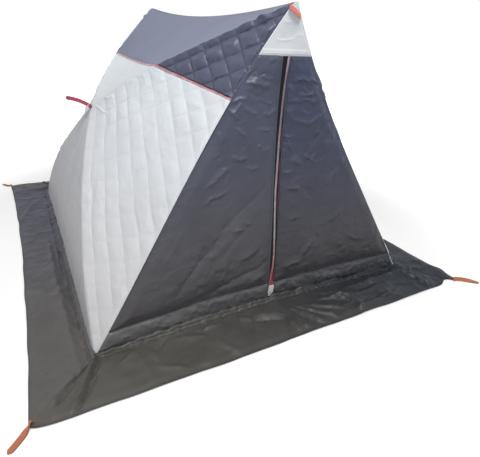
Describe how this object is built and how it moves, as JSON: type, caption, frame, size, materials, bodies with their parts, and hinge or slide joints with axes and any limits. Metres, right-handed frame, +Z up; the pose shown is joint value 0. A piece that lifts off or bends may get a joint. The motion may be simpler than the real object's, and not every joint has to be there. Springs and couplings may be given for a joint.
{
  "type": "ice fishing hut",
  "caption": "Pop-up quilted fabric hut with two hub-framed side walls, a sagging ridge, a front zip, a peak patch and a flat snow skirt.",
  "frame": {"origin": "on the ground at the centre of the base", "axes": "+X to the right seen from the front, +Y from the front wall to the back wall, +Z up"},
  "size_m": [2.7704, 2.9744, 1.53],
  "materials": {
    "white_quilt": "white quilted polyester with a soft sheen",
    "dark_quilt": "charcoal quilted polyester with a soft sheen",
    "dark_binding": "charcoal plain cloth, gathered",
    "skirt_cloth": "charcoal coated cloth, creased",
    "white_patch": "white coated cloth",
    "pink_piping": "reflective pink piping",
    "orange_webbing": "orange woven webbing",
    "red_webbing": "red woven webbing",
    "zip_tape": "charcoal zip tape",
    "zip_coil": "light grey zip coil",
    "slider_metal": "grey enamelled zip slider",
    "tag_cloth": "white woven pull tag",
    "hub_plastic": "black moulded nylon",
    "socket_plastic": "black moulded nylon",
    "rod_fibreglass": "black pultruded glass fibre"
  },
  "bodies": {
    "root": {"back_hem_band": "dark_binding", "back_skirt": "skirt_cloth", "back_wall": "dark_quilt", "corner_loops": "orange_webbing", "front_hem_band": "dark_binding", "front_peak_patch": "white_patch", "front_pull_tag": "tag_cloth", "front_skirt": "skirt_cloth", "front_wall_left": "dark_quilt", "front_wall_right": "dark_quilt", "front_zip_coil": "zip_coil", "front_zip_slider": "slider_metal", "front_zip_tape": "zip_tape", "left_end_piping": "pink_piping", "left_front_dark_panel": "dark_quilt", "left_front_white_panel": "white_quilt", "left_hub": "hub_plastic", "left_hub_patch": "white_patch", "left_hub_sockets": "socket_plastic", "left_lower_panel": "white_quilt", "left_pull_strap": "red_webbing", "left_rear_dark_panel": "dark_quilt", "left_rear_white_panel": "white_quilt", "left_rods": "rod_fibreglass", "left_roof_dark_panel": "dark_quilt", "left_roof_piping": "pink_piping", "left_roof_white_panel": "white_quilt", "left_skirt": "skirt_cloth", "peak_tabs": "orange_webbing", "ridge_binding": "dark_binding", "right_end_piping": "pink_piping", "right_front_dark_panel": "dark_quilt", "right_front_white_panel": "white_quilt", "right_hub": "hub_plastic", "right_hub_patch": "white_patch", "right_hub_sockets": "socket_plastic", "right_lower_panel": "white_quilt", "right_pull_strap": "red_webbing", "right_rear_dark_panel": "dark_quilt", "right_rear_white_panel": "white_quilt", "right_rods": "rod_fibreglass", "right_roof_dark_panel": "dark_quilt", "right_roof_piping": "pink_piping", "right_roof_white_panel": "white_quilt", "right_skirt": "skirt_cloth"}
  },
  "joints": []
}
